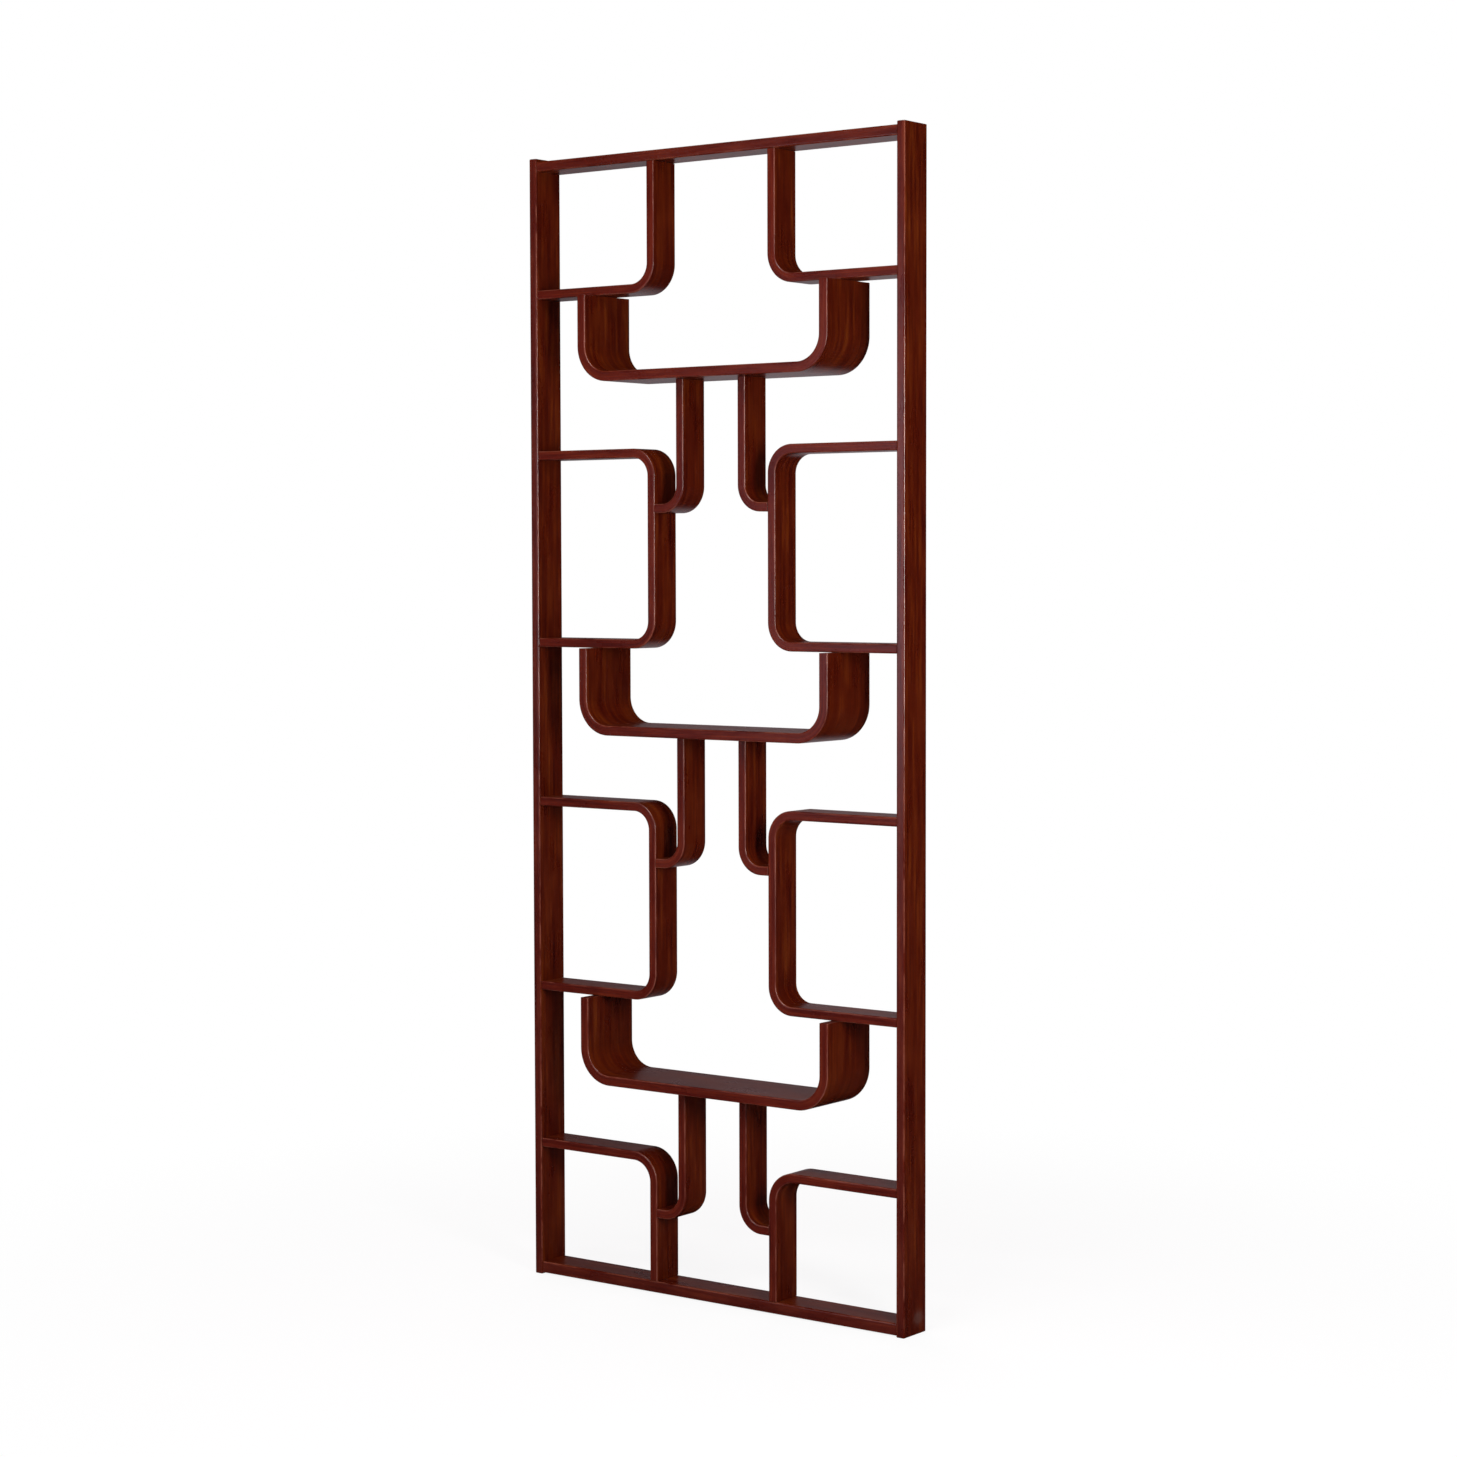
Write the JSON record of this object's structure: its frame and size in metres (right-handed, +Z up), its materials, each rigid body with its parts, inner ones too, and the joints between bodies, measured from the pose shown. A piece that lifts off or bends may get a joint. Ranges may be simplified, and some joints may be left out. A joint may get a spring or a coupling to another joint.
{
  "type": "room divider",
  "caption": "Upright open room divider of bent plywood: C-shaped brackets, hanging U-shaped shelves and J-shaped hooks inside a slim frame of posts and rails.",
  "frame": {"origin": "on the floor, under the middle of the frame", "axes": "+Z up, +X along the divider's width to its right-hand post, +Y through it to the back"},
  "size_m": [0.762, 0.1194, 1.9],
  "materials": {
    "frame_wood": "solid wood with a dark red-brown stain, satin lacquer",
    "bent_plywood": "moulded plywood with a dark red-brown stain, satin lacquer",
    "dowel_wood": "bare beech, turned"
  },
  "bodies": {
    "root": {"left_post": "frame_wood", "right_post": "frame_wood", "top_rail": "frame_wood", "bottom_rail": "frame_wood", "top_left_corner_strip": "bent_plywood", "top_right_corner_strip": "bent_plywood", "bottom_left_corner_strip": "bent_plywood", "bottom_right_corner_strip": "bent_plywood", "upper_left_bracket": "bent_plywood", "upper_right_bracket": "bent_plywood", "lower_left_bracket": "bent_plywood", "lower_right_bracket": "bent_plywood", "top_shelf": "bent_plywood", "middle_shelf": "bent_plywood", "bottom_shelf": "bent_plywood", "top_left_hook": "bent_plywood", "top_right_hook": "bent_plywood", "middle_left_hook": "bent_plywood", "middle_right_hook": "bent_plywood", "bottom_left_hook": "bent_plywood", "bottom_right_hook": "bent_plywood", "top_shelf_left_dowel_front": "dowel_wood", "top_shelf_left_dowel_back": "dowel_wood", "top_left_hook_head_dowel_front": "dowel_wood", "top_left_hook_head_dowel_back": "dowel_wood", "top_left_hook_foot_dowel_front": "dowel_wood", "top_left_hook_foot_dowel_back": "dowel_wood", "top_shelf_right_dowel_front": "dowel_wood", "top_shelf_right_dowel_back": "dowel_wood", "top_right_hook_head_dowel_front": "dowel_wood", "top_right_hook_head_dowel_back": "dowel_wood", "top_right_hook_foot_dowel_front": "dowel_wood", "top_right_hook_foot_dowel_back": "dowel_wood", "middle_shelf_left_dowel_front": "dowel_wood", "middle_shelf_left_dowel_back": "dowel_wood", "middle_left_hook_head_dowel_front": "dowel_wood", "middle_left_hook_head_dowel_back": "dowel_wood", "middle_left_hook_foot_dowel_front": "dowel_wood", "middle_left_hook_foot_dowel_back": "dowel_wood", "middle_shelf_right_dowel_front": "dowel_wood", "middle_shelf_right_dowel_back": "dowel_wood", "middle_right_hook_head_dowel_front": "dowel_wood", "middle_right_hook_head_dowel_back": "dowel_wood", "middle_right_hook_foot_dowel_front": "dowel_wood", "middle_right_hook_foot_dowel_back": "dowel_wood", "bottom_shelf_left_dowel_front": "dowel_wood", "bottom_shelf_left_dowel_back": "dowel_wood", "bottom_left_hook_head_dowel_front": "dowel_wood", "bottom_left_hook_head_dowel_back": "dowel_wood", "bottom_left_hook_foot_dowel_front": "dowel_wood", "bottom_left_hook_foot_dowel_back": "dowel_wood", "bottom_shelf_right_dowel_front": "dowel_wood", "bottom_shelf_right_dowel_back": "dowel_wood", "bottom_right_hook_head_dowel_front": "dowel_wood", "bottom_right_hook_head_dowel_back": "dowel_wood", "bottom_right_hook_foot_dowel_front": "dowel_wood", "bottom_right_hook_foot_dowel_back": "dowel_wood"}
  },
  "joints": []
}
